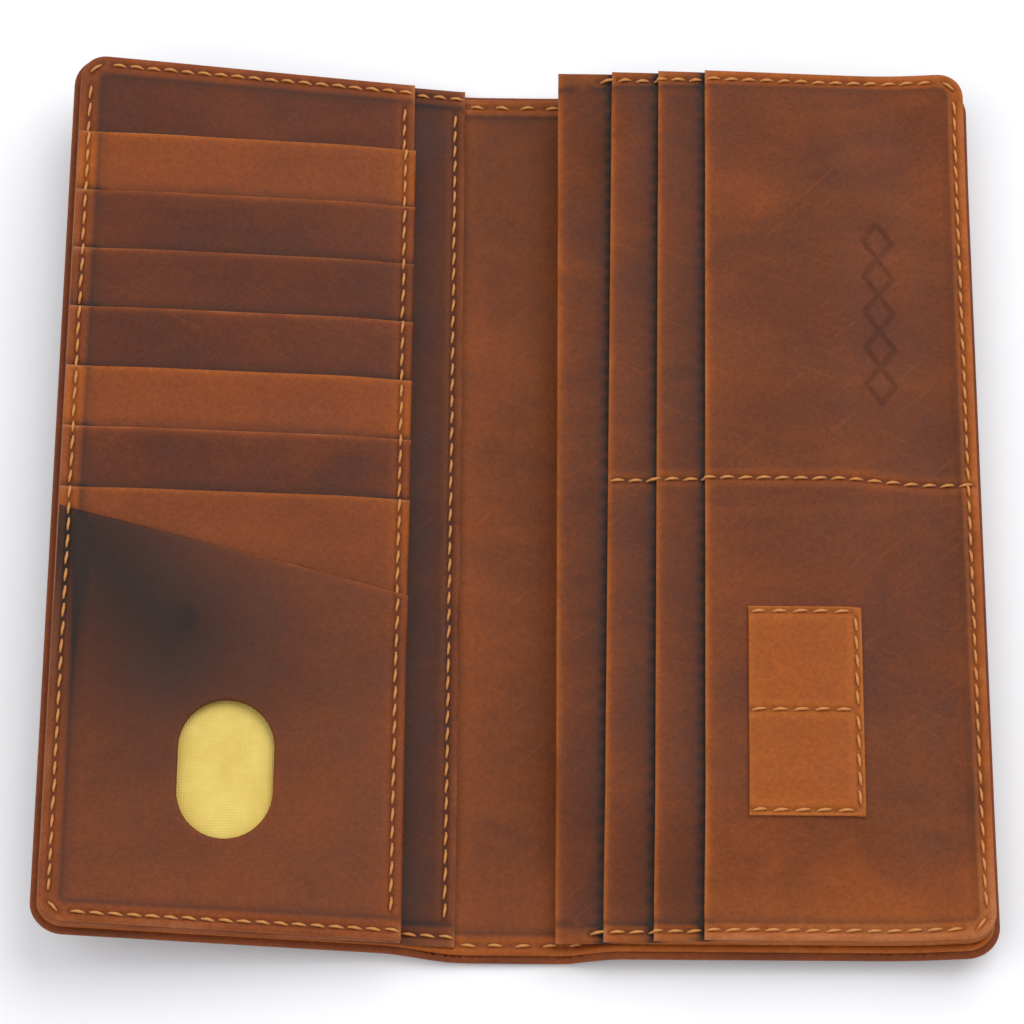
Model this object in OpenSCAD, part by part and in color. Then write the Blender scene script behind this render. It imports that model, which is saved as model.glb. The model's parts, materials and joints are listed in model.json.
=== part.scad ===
// Long leather phone wallet, lying open. X runs to the right, Y to the top, Z up.
// The origin is under the middle of the spine, on the surface that the wallet lies on.

/* [Overall] */
// Height of the wallet, along its folds
wallet_h = 193; // [185:1:235]
// Width of each half, from its fold to its outer edge
half_w = 85.5; // [84:0.5:110]
// Width of the spine between the two folds
spine_w = 19; // [19:0.5:26]
// Radius of the four outer corners
corner_r = 6.5; // [4:0.5:10]
// Angle at which the left half rests above flat, in degrees
rest_tilt = 9.5; // [0:0.5:12]

/* [Leather] */
// Thickness of the outer cover
cover_t = 1.6; // [1.2:0.1:2]
// Thickness of the lining
lining_t = 0.9; // [0.6:0.1:1.2]
// Thickness of the slip panel and the phone panel
panel_t = 1.1; // [0.8:0.1:1.4]
// Thickness of the card base, the card pockets and the cash layers
layer_t = 1.0; // [0.7:0.1:1.2]
// Step from the cover's edge in to the edge of the pieces sewn on it
edge_inset = 1.2; // [0.6:0.1:2]
// Gap between a fold and the free edge of a panel that opens towards it
fold_setback = 1.2; // [1:0.1:3]
// Clearance between two slanting leathers that lie on each other
lay_gap = 0.06; // [0.04:0.01:0.2]

/* [Card pockets] */
// Distance from the left fold to the edge of the card base
card_edge_u = 12.2; // [8:0.1:16]
// Distance from the wallet's top edge to the first pocket's opening
first_slot_drop = 18.5; // [12:0.5:24]
// Distance from one pocket's opening to the next
slot_pitch = 13.4; // [11:0.1:16]
// Length of each pocket's front, from its opening to where it ends behind the next
slot_len = 24; // [20:0.5:27]

/* [ID pocket] */
// Drop from the last card pocket's opening to the ID pocket's edge, on the outer side
id_drop_outer = 4.4; // [3:0.1:10]
// The same drop on the fold side, where the slanted edge ends
id_drop_inner = 21.1; // [14:0.1:24]
// Thickness of the yellow lining behind the thumb hole
id_lining_t = 0.45; // [0.3:0.05:0.6]
// Width of the thumb hole
hole_w = 19.5; // [16:0.5:24]
// Length of the thumb hole
hole_l = 28.5; // [24:0.5:32]
// How far the thumb hole sits below the middle of the ID pocket
hole_shift = 6; // [0:0.5:8]

/* [Phone pocket] */
// Length of the phone that the pocket is made for
phone_l = 155; // [140:1:160]
// Width of that phone
phone_w = 73.9; // [65:0.1:76]
// Thickness of that phone
phone_t = 7.8; // [7:0.1:8]
// Room round the phone in length and in width
phone_ease = 1.6; // [1:0.1:3]
// Room over the phone in thickness
phone_ease_t = 0.4; // [0.3:0.05:0.6]

/* [Cash layers] */
// Distance from the right fold to the first layer's free edge
first_layer_u = 9.9; // [8:0.1:14]
// Distance from one layer's free edge to the next
layer_pitch = 9.8; // [8:0.1:12]
// Height of the divider seam above the middle of the wallet
divider_y = 1; // [-10:0.5:10]

/* [SIM pocket] */
// Distance from the right fold to the SIM pocket's open edge
sim_u = 38; // [36:0.5:44]
// Width of the SIM pocket
sim_w = 22; // [18:0.5:28]
// Height of the SIM pocket
sim_h = 44; // [36:0.5:50]
// Distance from the divider seam down to the SIM pocket
sim_drop = 28.3; // [20:0.1:34]
// Thickness of the SIM pocket's leather
sim_t = 0.8; // [0.6:0.1:1]

/* [Thread] */
// Diameter of the sewing thread
thread_d = 0.7; // [0.5:0.05:0.8]
// Distance from one stitch to the next
stitch_pitch = 3.9; // [3:0.1:5]
// Visible length of one stitch
stitch_len = 2.9; // [2:0.1:3.2]
// Distance from the cover's edge to the seam
seam_inset = 3.2; // [2.6:0.1:4]
// Distance from an inner panel's free edge to its seam
inner_seam_inset = 2.2; // [1.6:0.1:3]

/* [Hidden] */
slot_count = 7;
fine = 48;

hinge_z = cover_t + lining_t;
inner_h = wallet_h - 2 * edge_inset;
inner_w = half_w - edge_inset;
seam_y = wallet_h / 2 - seam_inset;
seam_u = half_w - seam_inset;
seam_corner = (corner_r - seam_inset) * (1 - cos(45));
flange_w = seam_inset - edge_inset + thread_d + seam_corner;
reach = wallet_h + half_w;

// Heights on the left half are above the lining
card_base_z = panel_t;
card_top_z = panel_t + layer_t;
slot_slope = layer_t / slot_pitch;
step_rise = slot_slope * stitch_len;
id_bottom_y = -inner_h / 2;
id_outer_y = slot_y(slot_count) - id_drop_outer;
id_inner_y = slot_y(slot_count) - id_drop_inner;
id_lift = (slot_len - id_drop_outer) * slot_slope + layer_t + lay_gap;
id_slope = (id_lift - id_lining_t) / (id_outer_y - id_bottom_y);
hole_u = (card_edge_u + inner_w) / 2;
hole_y = ((id_outer_y + id_inner_y) / 2 + id_bottom_y) / 2 - hole_shift;

// Heights on the right half are above the lining too
pocket_gap = phone_t + phone_ease_t;
pocket_u = phone_w + phone_ease;
pocket_half = (phone_l + phone_ease) / 2;
flange_u = inner_w - flange_w;
flange_y = inner_h / 2 - flange_w;
sim_z = pocket_gap + panel_t + 3 * layer_t;
sim_top_y = divider_y - sim_drop;

// Where the opening of card pocket k lies, counted from the top
function slot_y(k) = wallet_h / 2 - first_slot_drop - (k - 1) * slot_pitch;

// Underside of card pocket k at height y: each lies like a shingle on the one above it
function slot_under(k, y) = card_top_z + (slot_len - slot_y(k) + y) * slot_slope;

// Which card pocket shows at height y
function slot_at(y) = min(slot_count, floor((slot_y(1) - y) / slot_pitch) + 1);

// The ID pocket's slanted edge at distance u from the fold, and its underside at height y
function id_edge_y(u) =
    id_inner_y + (id_outer_y - id_inner_y) * (u - card_edge_u) / (inner_w - card_edge_u);
function id_under(y) = card_top_z + id_lining_t + (y - id_bottom_y) * id_slope;

// Height of the left half's upper surface
function left_top(u, y) =
    u < card_edge_u ? panel_t
    : y > slot_y(1) ? card_top_z
    : y > id_edge_y(u) ? slot_under(slot_at(y), y) + layer_t
    : id_under(y) + layer_t;

// How many cash layers lie over the phone panel at distance u, and where layer k begins
function layer_u(k) = first_layer_u + (k - 1) * layer_pitch;
function layers_at(u) = u < layer_u(1) ? 0 : min(3, floor((u - layer_u(1)) / layer_pitch) + 1);

// Height of the phone panel's underside: level over the phone, then down to the sewn flange
function falling(d, level_end, flange_start) =
    d < level_end ? pocket_gap
    : d > flange_start ? 0
    : pocket_gap * (flange_start - d) / (flange_start - level_end);
function right_under(u, y) =
    min(falling(u, pocket_u, flange_u), falling(abs(y), pocket_half, flange_y));
function right_top(u, y) = right_under(u, y) + panel_t + layers_at(u) * layer_t;

module in_left_half()
    translate([-spine_w / 2, 0, hinge_z])
        rotate([0, rest_tilt, 0])
            mirror([1, 0, 0])
                children();

module in_right_half()
    translate([spine_w / 2, 0, hinge_z])
        children();

// One half's outline from distance start out to its two rounded corners
module half_outline(inset, start = 0) {
    r = corner_r - inset;
    w = half_w - inset;
    h = wallet_h - 2 * inset;
    translate([start, -h / 2]) square([w - r - start, h]);
    translate([start, r - h / 2]) square([w - start, h - 2 * r]);
    for (side = [-1, 1])
        translate([w - r, side * (h / 2 - r)]) circle(r = r, $fn = fine);
}

module sheet(z, thickness, inset, start = 0)
    translate([0, 0, z]) linear_extrude(thickness) half_outline(inset, start);

// Stretches a profile drawn in Y and Z from distance u0 to u1
module along_u(u0, u1)
    translate([u0, 0, 0]) rotate([90, 0, 90]) linear_extrude(u1 - u0) children();

// Stretches a profile drawn in X and Z over the wallet's whole height
module along_y()
    rotate([90, 0, 0]) linear_extrude(reach, center = true) children();

// One stitch: a short length of thread that lies on the leather from p to q
module stitch(p, q) {
    d = q - p;
    translate(p)
        rotate([0, acos(d.z / norm(d)), atan2(d.y, d.x)])
            cylinder(h = norm(d), d = thread_d, $fn = 16);
}

// A straight seam from a to b on the surface whose height is top(u, y)
module seam(a, b, top) {
    count = max(1, floor(norm(b - a) / stitch_pitch));
    for (i = [0 : count - 1]) {
        p = a + (b - a) * (i + 0.5) / count - (b - a) * stitch_len / norm(b - a) / 2;
        q = a + (b - a) * (i + 0.5) / count + (b - a) * stitch_len / norm(b - a) / 2;
        zp = top(p.x, p.y);
        zq = top(q.x, q.y);
        // A stitch that crosses a free edge rests on the upper leather
        step = abs(zp - zq) > layer_t / 2;
        over = max(zp, zq) + step_rise;
        stitch([p.x, p.y, (step ? over : zp) + thread_d / 2],
               [q.x, q.y, (step ? over : zq) + thread_d / 2]);
    }
}

// The seam round one half: top, bottom and outer side, with one slanted stitch in each corner
module edge_seam(start, top) {
    turn = corner_r - seam_inset + stitch_pitch / 4;
    for (side = [-1, 1]) {
        middle = [seam_u - seam_corner, side * (seam_y - seam_corner)];
        along = [1, -side] * stitch_pitch / 2 / sqrt(2);
        seam([start, side * seam_y], [seam_u - turn, side * seam_y], top);
        seam(middle - along, middle + along, top);
    }
    seam([seam_u, turn - seam_y], [seam_u, seam_y - turn], top);
}

module cover_left() color("saddlebrown")
    in_left_half() sheet(-hinge_z, cover_t, 0);

module cover_spine() color("saddlebrown")
    translate([-spine_w / 2, -wallet_h / 2, 0]) cube([spine_w, wallet_h, cover_t]);

module cover_right() color("saddlebrown")
    in_right_half() sheet(-hinge_z, cover_t, 0);

module lining_left() color("chocolate")
    in_left_half() sheet(-lining_t, lining_t, edge_inset);

module lining_spine() color("chocolate")
    translate([-spine_w / 2, -inner_h / 2, cover_t]) cube([spine_w, inner_h, lining_t]);

module lining_right() color("chocolate")
    in_right_half() sheet(-lining_t, lining_t, edge_inset);

module slip_panel() color("sienna")
    in_left_half() sheet(0, panel_t, edge_inset, fold_setback);

module card_base() color("sienna")
    in_left_half() sheet(card_base_z, layer_t, edge_inset, card_edge_u);

module card_pocket(k) {
    top = slot_y(k);
    foot = top - slot_len;
    color(k % 3 == 1 ? "peru" : "sienna")
        in_left_half()
            along_u(card_edge_u, inner_w)
                polygon([
                    [foot, slot_under(k, foot)], [top, slot_under(k, top)],
                    [top, slot_under(k, top) + layer_t], [foot, slot_under(k, foot) + layer_t]
                ]);
}

module thumb_hole() {
    run = hole_l - hole_w;
    translate([hole_u, hole_y]) {
        translate([-hole_w / 2, -run / 2]) square([hole_w, run]);
        for (side = [-1, 1])
            translate([0, side * run / 2]) circle(d = hole_w, $fn = fine);
    }
}

module id_pocket() color("brown")
    in_left_half()
        intersection() {
            along_u(card_edge_u, inner_w)
                polygon([
                    [id_bottom_y, id_under(id_bottom_y)], [id_outer_y, id_under(id_outer_y)],
                    [id_outer_y, id_under(id_outer_y) + layer_t],
                    [id_bottom_y, id_under(id_bottom_y) + layer_t]
                ]);
            linear_extrude(reach)
                difference() {
                    intersection() {
                        half_outline(edge_inset, card_edge_u);
                        polygon([
                            [card_edge_u, id_bottom_y], [inner_w, id_bottom_y],
                            [inner_w, id_outer_y], [card_edge_u, id_inner_y]
                        ]);
                    }
                    thumb_hole();
                }
        }

module id_pocket_lining() color("khaki")
    in_left_half()
        translate([0, 0, card_top_z])
            linear_extrude(id_lining_t)
                intersection() {
                    half_outline(edge_inset, card_edge_u);
                    translate([0, id_bottom_y])
                        square([inner_w, slot_y(slot_count) - slot_len - id_bottom_y]);
                }

// Everything below a sheet that lies z above the phone panel's underside
module below_panel(z) {
    intersection() {
        along_y()
            polygon([
                [0, -hinge_z], [0, pocket_gap + z], [pocket_u, pocket_gap + z],
                [flange_u, z], [half_w, z], [half_w, -hinge_z]
            ]);
        along_u(0, half_w)
            polygon([
                [-wallet_h / 2, -hinge_z], [-wallet_h / 2, z], [-flange_y, z],
                [-pocket_half, pocket_gap + z], [pocket_half, pocket_gap + z],
                [flange_y, z], [wallet_h / 2, z], [wallet_h / 2, -hinge_z]
            ]);
    }
}

// A sheet that arches over the phone, z above the phone panel's underside
module arched_sheet(z, thickness, start)
    in_right_half()
        intersection() {
            difference() {
                below_panel(z + thickness);
                below_panel(z);
            }
            linear_extrude(reach) half_outline(edge_inset, start);
        }

module phone_panel() color("sienna")
    arched_sheet(0, panel_t, fold_setback);

module cash_layer(k) color("sienna")
    arched_sheet(panel_t + (k - 1) * layer_t, layer_t, layer_u(k));

module sim_pocket() color("peru")
    in_right_half()
        translate([sim_u, sim_top_y - sim_h, sim_z]) cube([sim_w, sim_h, sim_t]);

module edge_thread_left() color("sandybrown")
    in_left_half() edge_seam(fold_setback, function(u, y) left_top(u, y));

module edge_thread_spine() color("sandybrown")
    translate([0, 0, hinge_z])
        for (side = [-1, 1])
            seam([-spine_w / 2, side * seam_y], [spine_w / 2, side * seam_y], function(u, y) 0);

module edge_thread_right() color("sandybrown")
    in_right_half() edge_seam(fold_setback, function(u, y) right_top(u, y));

module slip_panel_thread() color("sandybrown")
    in_left_half() {
        u = fold_setback + inner_seam_inset;
        seam([u, stitch_pitch - seam_y], [u, seam_y - stitch_pitch], function(u, y) panel_t);
    }

module card_base_thread() color("sandybrown")
    in_left_half() {
        u = card_edge_u + inner_seam_inset;
        seam([u, stitch_pitch - seam_y], [u, seam_y - stitch_pitch], function(u, y) left_top(u, y));
    }

// The divider seam runs level over the phone and then down the slope to the edge
module divider_thread() color("sandybrown")
    in_right_half() {
        seam([layer_u(1), divider_y], [pocket_u, divider_y], function(u, y) right_top(u, y));
        lift = thread_d / 2 * norm([pocket_gap, flange_u - pocket_u]) / (flange_u - pocket_u);
        p = [pocket_u + thread_d, divider_y];
        q = [flange_u - thread_d, divider_y];
        stitch([p.x, p.y, right_top(p.x, p.y) + lift], [q.x, q.y, right_top(q.x, q.y) + lift]);
    }

module sim_pocket_thread() color("sandybrown")
    in_right_half() {
        level = function(u, y) sim_z + sim_t;
        right = sim_u + sim_w - inner_seam_inset / 2;
        high = sim_top_y - inner_seam_inset / 2;
        low = sim_top_y - sim_h + inner_seam_inset / 2;
        middle = (high + low) / 2;
        for (y = [low, middle, high])
            seam([sim_u, y], [right - thread_d, y], level);
        for (y = [low, middle])
            seam([right, y + thread_d], [right, y + (high - low) / 2 - thread_d], level);
    }

cover_left();
cover_spine();
cover_right();
lining_left();
lining_spine();
lining_right();
slip_panel();
card_base();
card_pocket(1);  // card_pocket_1
card_pocket(2);  // card_pocket_2
card_pocket(3);  // card_pocket_3
card_pocket(4);  // card_pocket_4
card_pocket(5);  // card_pocket_5
card_pocket(6);  // card_pocket_6
card_pocket(7);  // card_pocket_7
id_pocket();
id_pocket_lining();
phone_panel();
cash_layer(1);  // cash_layer_1
cash_layer(2);  // cash_layer_2
cash_layer(3);  // cash_layer_3
sim_pocket();
edge_thread_left();
edge_thread_spine();
edge_thread_right();
slip_panel_thread();
card_base_thread();
divider_thread();
sim_pocket_thread();
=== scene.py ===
# %% [markdown]
# # A long leather phone wallet, lying open
#
# This lesson dresses a finished CAD model of a wallet in real leather. The CAD model says where every
# piece is and how it moves. Here each flat CAD plate becomes a cut piece of leather with burnished
# edges, soft swells, sewn grooves and a waxed finish, and every stitch becomes a twisted thread.

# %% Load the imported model
import json
import math
import random

import bpy
import numpy as np
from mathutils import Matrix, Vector, geometry


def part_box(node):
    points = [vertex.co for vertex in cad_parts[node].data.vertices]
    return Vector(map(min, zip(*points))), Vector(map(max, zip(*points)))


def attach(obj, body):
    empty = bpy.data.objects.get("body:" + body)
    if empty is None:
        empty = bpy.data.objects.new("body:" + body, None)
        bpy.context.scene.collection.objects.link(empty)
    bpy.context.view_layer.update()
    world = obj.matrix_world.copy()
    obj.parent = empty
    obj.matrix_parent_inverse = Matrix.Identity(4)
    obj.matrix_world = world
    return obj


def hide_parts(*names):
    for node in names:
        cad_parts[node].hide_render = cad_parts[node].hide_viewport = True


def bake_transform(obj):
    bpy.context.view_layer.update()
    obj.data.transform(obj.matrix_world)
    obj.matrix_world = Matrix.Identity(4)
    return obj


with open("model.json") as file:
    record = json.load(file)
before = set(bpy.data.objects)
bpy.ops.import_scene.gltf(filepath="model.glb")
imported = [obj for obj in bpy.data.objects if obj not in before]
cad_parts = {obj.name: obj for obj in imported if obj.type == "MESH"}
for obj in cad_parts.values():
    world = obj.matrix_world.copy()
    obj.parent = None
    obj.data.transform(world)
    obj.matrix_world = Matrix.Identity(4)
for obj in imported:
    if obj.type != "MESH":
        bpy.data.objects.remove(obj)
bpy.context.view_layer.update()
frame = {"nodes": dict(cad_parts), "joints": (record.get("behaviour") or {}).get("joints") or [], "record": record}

# %% [markdown]
# ## One flat coordinate for every piece
#
# A leather worker thinks of each half as a flat piece: how far from the fold (u), how far along it (y),
# how high above the lining (h). We work in those millimetres and only turn them into places at the end.
# The left half rests a few degrees above flat, so its tilt is read off the CAD cover first.

# %% Folds, tilt and the flat coordinates of a CAD node
MM = 0.001
hinges = {j["name"]: np.array(j["pos_m"]) / MM for j in frame["joints"]}
spine_half = float(hinges["right_fold"][0])
lining_z = float(hinges["right_fold"][2])
body_of_node = {
    node: body for body, nodes in frame["record"]["behaviour"]["bodies"].items() for node in nodes
}


def box_mm(node):
    low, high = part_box(node)
    return np.array(low) / MM, np.array(high) / MM


cover_low, cover_high = box_mm("cover_right")
half_w = cover_high[0] - spine_half
half_h = cover_high[1]
cover_t = cover_high[2] - cover_low[2]
left_low, left_high = box_mm("cover_left")
tilt = math.asin((left_high[2] - left_low[2]) / math.hypot(half_w, cover_t)) - math.atan2(cover_t, half_w)
cos_tilt, sin_tilt = math.cos(tilt), math.sin(tilt)


def flat_points(node):
    """Every corner of a CAD node as rows of u, y, h in millimetres."""
    points = np.array([v.co for v in frame["nodes"][node].data.vertices]) / MM
    side = -1 if body_of_node[node] == "left_half" else 1
    dx = points[:, 0] * side - spine_half
    dz = points[:, 2] - lining_z
    if side > 0:
        return np.stack([dx, points[:, 1], dz], 1)
    return np.stack([dx * cos_tilt + dz * sin_tilt, points[:, 1], dz * cos_tilt - dx * sin_tilt], 1)


def flat_box(node):
    points = flat_points(node)
    return points.min(0), points.max(0)


lining_t = -flat_box("lining_right")[0][2]
inner_w, inner_h = flat_box("lining_right")[1][:2]
print("tilt", round(math.degrees(tilt), 2), "half", round(half_w, 1), "x", round(2 * half_h, 1), "mm")

# %% [markdown]
# ## Camera, floor and light
#
# The camera hangs above the lower edge of the wallet and looks down at it from about 66 degrees, far
# enough away that the edges stay nearly parallel. A white floor and two
# broad soft boxes keep the shadows pale. The stronger one stands on the right, so each free edge that
# faces left keeps a thin dark line beside it.

# %% Stage
scene = bpy.context.scene
scene.view_settings.view_transform = "Standard"
scene.view_settings.look = "None"

CAMERA_LEAN = math.radians(23.5)
CAMERA_ROLL = math.radians(0.4)
CAMERA_DISTANCE = 0.85
CAMERA_LENS = 145.6
AIM = Vector((0, -0.0009, 0))

camera_data = bpy.data.cameras.new("camera")
camera_data.lens = CAMERA_LENS
camera_data.sensor_width = 36
camera_data.clip_end = 20
camera = bpy.data.objects.new("camera", camera_data)
scene.collection.objects.link(camera)
camera.location = AIM + CAMERA_DISTANCE * Vector((0, -math.sin(CAMERA_LEAN), math.cos(CAMERA_LEAN)))
camera.rotation_mode = "XYZ"
camera.rotation_euler = (CAMERA_LEAN, 0, 0)
camera.rotation_euler.rotate_axis("Z", CAMERA_ROLL)
scene.camera = camera


def soft_box(name, place, size, power):
    data = bpy.data.lights.new(name, "AREA")
    data.shape = "DISK"
    data.size = size
    data.energy = power
    lamp = bpy.data.objects.new(name, data)
    scene.collection.objects.link(lamp)
    lamp.location = place
    lamp.rotation_euler = (-Vector(place)).to_track_quat("-Z", "Y").to_euler()
    return lamp


soft_box("key_light", (0.65, 0.65, 1.3), 1.5, 12.2)
soft_box("fill_light", (-0.9, -0.4, 1.3), 1.6, 7.4)
world = bpy.data.worlds.new("studio")
scene.world = world
world.use_nodes = True
sky = world.node_tree.nodes["Background"]
sky.inputs["Color"].default_value = (0.93, 0.95, 1.0, 1)
sky.inputs["Strength"].default_value = 0.67

# %% [markdown]
# ## A small kit for shader nodes
#
# A leather finish needs a few dozen nodes. These helpers make one node each and wire it up, so that a
# finish below reads like a recipe.

# %% Shader helpers
def new_material(name):
    material = bpy.data.materials.new(name)
    material.use_nodes = True
    tree = material.node_tree
    return material, tree, tree.nodes["Principled BSDF"]


def add_node(tree, kind, inputs=None, **settings):
    node = tree.nodes.new(kind)
    for key, value in settings.items():
        setattr(node, key, value)
    for key, value in (inputs or {}).items():
        if isinstance(value, bpy.types.NodeSocket):
            tree.links.new(value, node.inputs[key])
        else:
            node.inputs[key].default_value = value
    return node


def math_node(tree, operation, a, b=0.0, clamp=False):
    node = add_node(tree, "ShaderNodeMath", {0: a, 1: b}, operation=operation, use_clamp=clamp)
    return node.outputs[0]


def stretch(tree, value, low, high, to_low=0.0, to_high=1.0):
    node = add_node(tree, "ShaderNodeMapRange", {
        "Value": value, "From Min": low, "From Max": high, "To Min": to_low, "To Max": to_high,
    })
    return node.outputs[0]


def mix_colour(tree, factor, a, b, mode="MIX"):
    node = add_node(tree, "ShaderNodeMix", {0: factor, 6: a, 7: b}, data_type="RGBA", blend_type=mode)
    return node.outputs[2]


def noise(tree, vector, scale, detail=3.0, roughness=0.5, distortion=0.0):
    node = add_node(tree, "ShaderNodeTexNoise", {
        "Vector": vector, "Scale": scale, "Detail": detail, "Roughness": roughness,
        "Distortion": distortion,
    })
    return node.outputs["Fac"]


def bump(tree, height, distance, strength, normal=None):
    inputs = {"Height": height, "Distance": distance, "Strength": strength}
    if normal is not None:
        inputs["Normal"] = normal
    return add_node(tree, "ShaderNodeBump", inputs).outputs["Normal"]


# %% [markdown]
# ## Floor
#
# Matt white paper. It only has to catch a soft shadow.

# %% Floor piece
floor_mesh = bpy.data.meshes.new("floor")
FLOOR_REACH = 3.0
FLOOR_DROP = 0.0004
floor_mesh.from_pydata(
    [(x * FLOOR_REACH, y * FLOOR_REACH, -FLOOR_DROP) for x, y in ((-1, -1), (1, -1), (1, 1), (-1, 1))],
    [], [(0, 1, 2, 3)],
)
floor = bpy.data.objects.new("floor", floor_mesh)
scene.collection.objects.link(floor)
floor_paper, floor_tree, floor_shader = new_material("white_paper")
floor_grain = noise(floor_tree, add_node(floor_tree, "ShaderNodeTexCoord").outputs["Object"], 40)
floor_colour = mix_colour(floor_tree, floor_grain, (0.93, 0.93, 0.93, 1), (0.95, 0.95, 0.95, 1))
floor_tree.links.new(floor_colour, floor_shader.inputs["Base Color"])
floor_shader.inputs["Roughness"].default_value = 0.9
floor_mesh.materials.append(floor_paper)

# %% [markdown]
# ## Waxed pull-up leather
#
# The hide is soaked in oil and wax. Where it is bent, rubbed or pinched by a seam, the wax moves and
# the leather turns orange; where wax gathers it stays dark. So the recipe has three tones. Slow noise
# moves between the dark and the middle tone, a finer noise breaks it up, and a rub value that each mesh
# carries along its edges, folds and seams brings up the light tone; along free edges that light tone is
# partly a painted highlight. A second value darkens the colour where wax gathers and also paints shade
# beside steps and edges. The mesh also carries its flat coordinates, so the grain lies on the leather
# without stretching and stays there when it folds.

# %% Leather recipe
# The pale tone of bare, rubbed edges, also used as a painted highlight, and the dark of gathered wax, also used as
# painted shade.
BARE_EDGE_AND_HIGHLIGHT = (0.46, 0.175, 0.070)
WAX_AND_SHADE_BLACK = (0.028, 0.015, 0.011)
SCRATCH_SLANTS = (0.75, -0.4)


def squeezed(tree, vector, scale, slant):
    """Leather coordinates turned a little and squeezed, so a noise read with them becomes streaks."""
    return add_node(tree, "ShaderNodeMapping", {
        "Vector": vector, "Rotation": (0, 0, slant), "Scale": [1 / s for s in scale],
    }, vector_type="TEXTURE").outputs["Vector"]


def leather(name, dark, middle, light, mottle=0.42, bias=0.5):
    material, tree, shader = new_material(name)
    hide = add_node(tree, "ShaderNodeAttribute", attribute_name="hide").outputs["Vector"]
    rub_and_highlight = add_node(tree, "ShaderNodeAttribute", attribute_name="rub_and_highlight").outputs["Fac"]
    wax_and_shade = add_node(tree, "ShaderNodeAttribute", attribute_name="wax_and_shade").outputs["Fac"]

    clouds = noise(tree, hide, 17, 4, 0.55, 0.7)
    patches = noise(tree, hide, 60, 5, 0.62, 0.5)
    streaks = noise(tree, squeezed(tree, hide, (18, 70, 18), 0.04), 1.0, 4, 0.6, 0.6)
    speckle = noise(tree, hide, 1100, 3, 0.75)

    tone = math_node(tree, "ADD", math_node(tree, "MULTIPLY", clouds, 0.55),
                     math_node(tree, "MULTIPLY", patches, 0.45))
    tone = stretch(tree, tone, bias - mottle / 2, bias + mottle / 2)
    colour = mix_colour(tree, tone, (*dark, 1), (*middle, 1))
    colour = mix_colour(tree, stretch(tree, streaks, 0.45, 0.75, 0.0, 0.22), colour, (*light, 1))
    for slant in SCRATCH_SLANTS:
        scratch = noise(tree, squeezed(tree, hide, (60, 1000, 60), slant), 1.0, 2, 0.5, 0.2)
        colour = mix_colour(tree, stretch(tree, scratch, 0.62, 0.78, 0.0, 0.17), colour, (*light, 1))
    uneven = stretch(tree, patches, 0.3, 0.7, 0.5, 1.25)
    rubbed_and_highlit = math_node(tree, "MULTIPLY", rub_and_highlight, uneven)
    colour = mix_colour(tree, math_node(tree, "MULTIPLY", rubbed_and_highlit, 1.0, clamp=True), colour, (*light, 1))
    # Strong rub turns the colour to the pale bare-edge tone; along free edges this is also a painted highlight.
    bare_and_highlight = stretch(tree, rubbed_and_highlit, 0.9, 1.9, 0.0, 0.75)
    colour = mix_colour(tree, bare_and_highlight, colour, (*BARE_EDGE_AND_HIGHLIGHT, 1))
    fine = stretch(tree, speckle, 0.3, 0.7, 0.82, 1.14)
    fine_colour = add_node(tree, "ShaderNodeCombineColor", {0: fine, 1: fine, 2: fine}).outputs[0]
    colour = mix_colour(tree, 1.0, colour, fine_colour, "MULTIPLY")
    # Gathered wax and dust darken the colour here, and so does painted shade beside steps and edges.
    colour = mix_colour(tree, math_node(tree, "MULTIPLY", wax_and_shade, 1.0, clamp=True), colour, (*WAX_AND_SHADE_BLACK, 1))
    tree.links.new(colour, shader.inputs["Base Color"])

    pores = add_node(tree, "ShaderNodeTexVoronoi", {"Vector": hide, "Scale": 1000, "Randomness": 1.0},
                     feature="DISTANCE_TO_EDGE").outputs["Distance"]
    grain = math_node(tree, "MINIMUM", pores, 0.16)
    normal = bump(tree, grain, 0.0003, 0.5)
    normal = bump(tree, speckle, 0.0001, 0.5, normal)
    normal = bump(tree, patches, 0.0012, 0.25, normal)
    normal = bump(tree, noise(tree, hide, 170, 4, 0.6), 0.0005, 0.45, normal)
    tree.links.new(normal, shader.inputs["Normal"])
    shine = math_node(tree, "ADD", stretch(tree, patches, 0.3, 0.7, 0.42, 0.58),
                      math_node(tree, "MULTIPLY", rubbed_and_highlit, 0.05))
    tree.links.new(shine, shader.inputs["Roughness"])
    shader.inputs["Specular IOR Level"].default_value = 0.14
    print("leather", name)
    return material


DEEP = (0.056, 0.0175, 0.0095)
BROWN = (0.142, 0.0340, 0.0120)
TAN = (0.255, 0.0590, 0.0120)
ORANGE = (0.365, 0.0880, 0.0110)

panel_leather = leather("panel_leather", DEEP, BROWN, TAN)
pocket_leather = leather("phone_pocket_leather", (0.078, 0.0220, 0.0095),
                         (0.184, 0.0425, 0.0120), ORANGE)
dark_leather = leather("dark_leather", (0.084, 0.0245, 0.0105),
                       (0.206, 0.0500, 0.0135), TAN, mottle=0.45, bias=0.42)
light_leather = leather("light_leather", (0.142, 0.0340, 0.0105),
                        (0.240, 0.0545, 0.0115), ORANGE, mottle=0.4, bias=0.45)
lining_leather = leather("lining_leather", (0.088, 0.0245, 0.0105),
                         (0.214, 0.0510, 0.0125), ORANGE, mottle=0.45, bias=0.45)
cover_leather = leather("cover_leather", (0.062, 0.0195, 0.0105), (0.158, 0.0395, 0.0125), TAN)
tan_leather = leather("tan_leather", (0.24, 0.054, 0.009),
                      (0.335, 0.077, 0.010), (0.44, 0.122, 0.018), mottle=0.5, bias=0.45)

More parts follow.
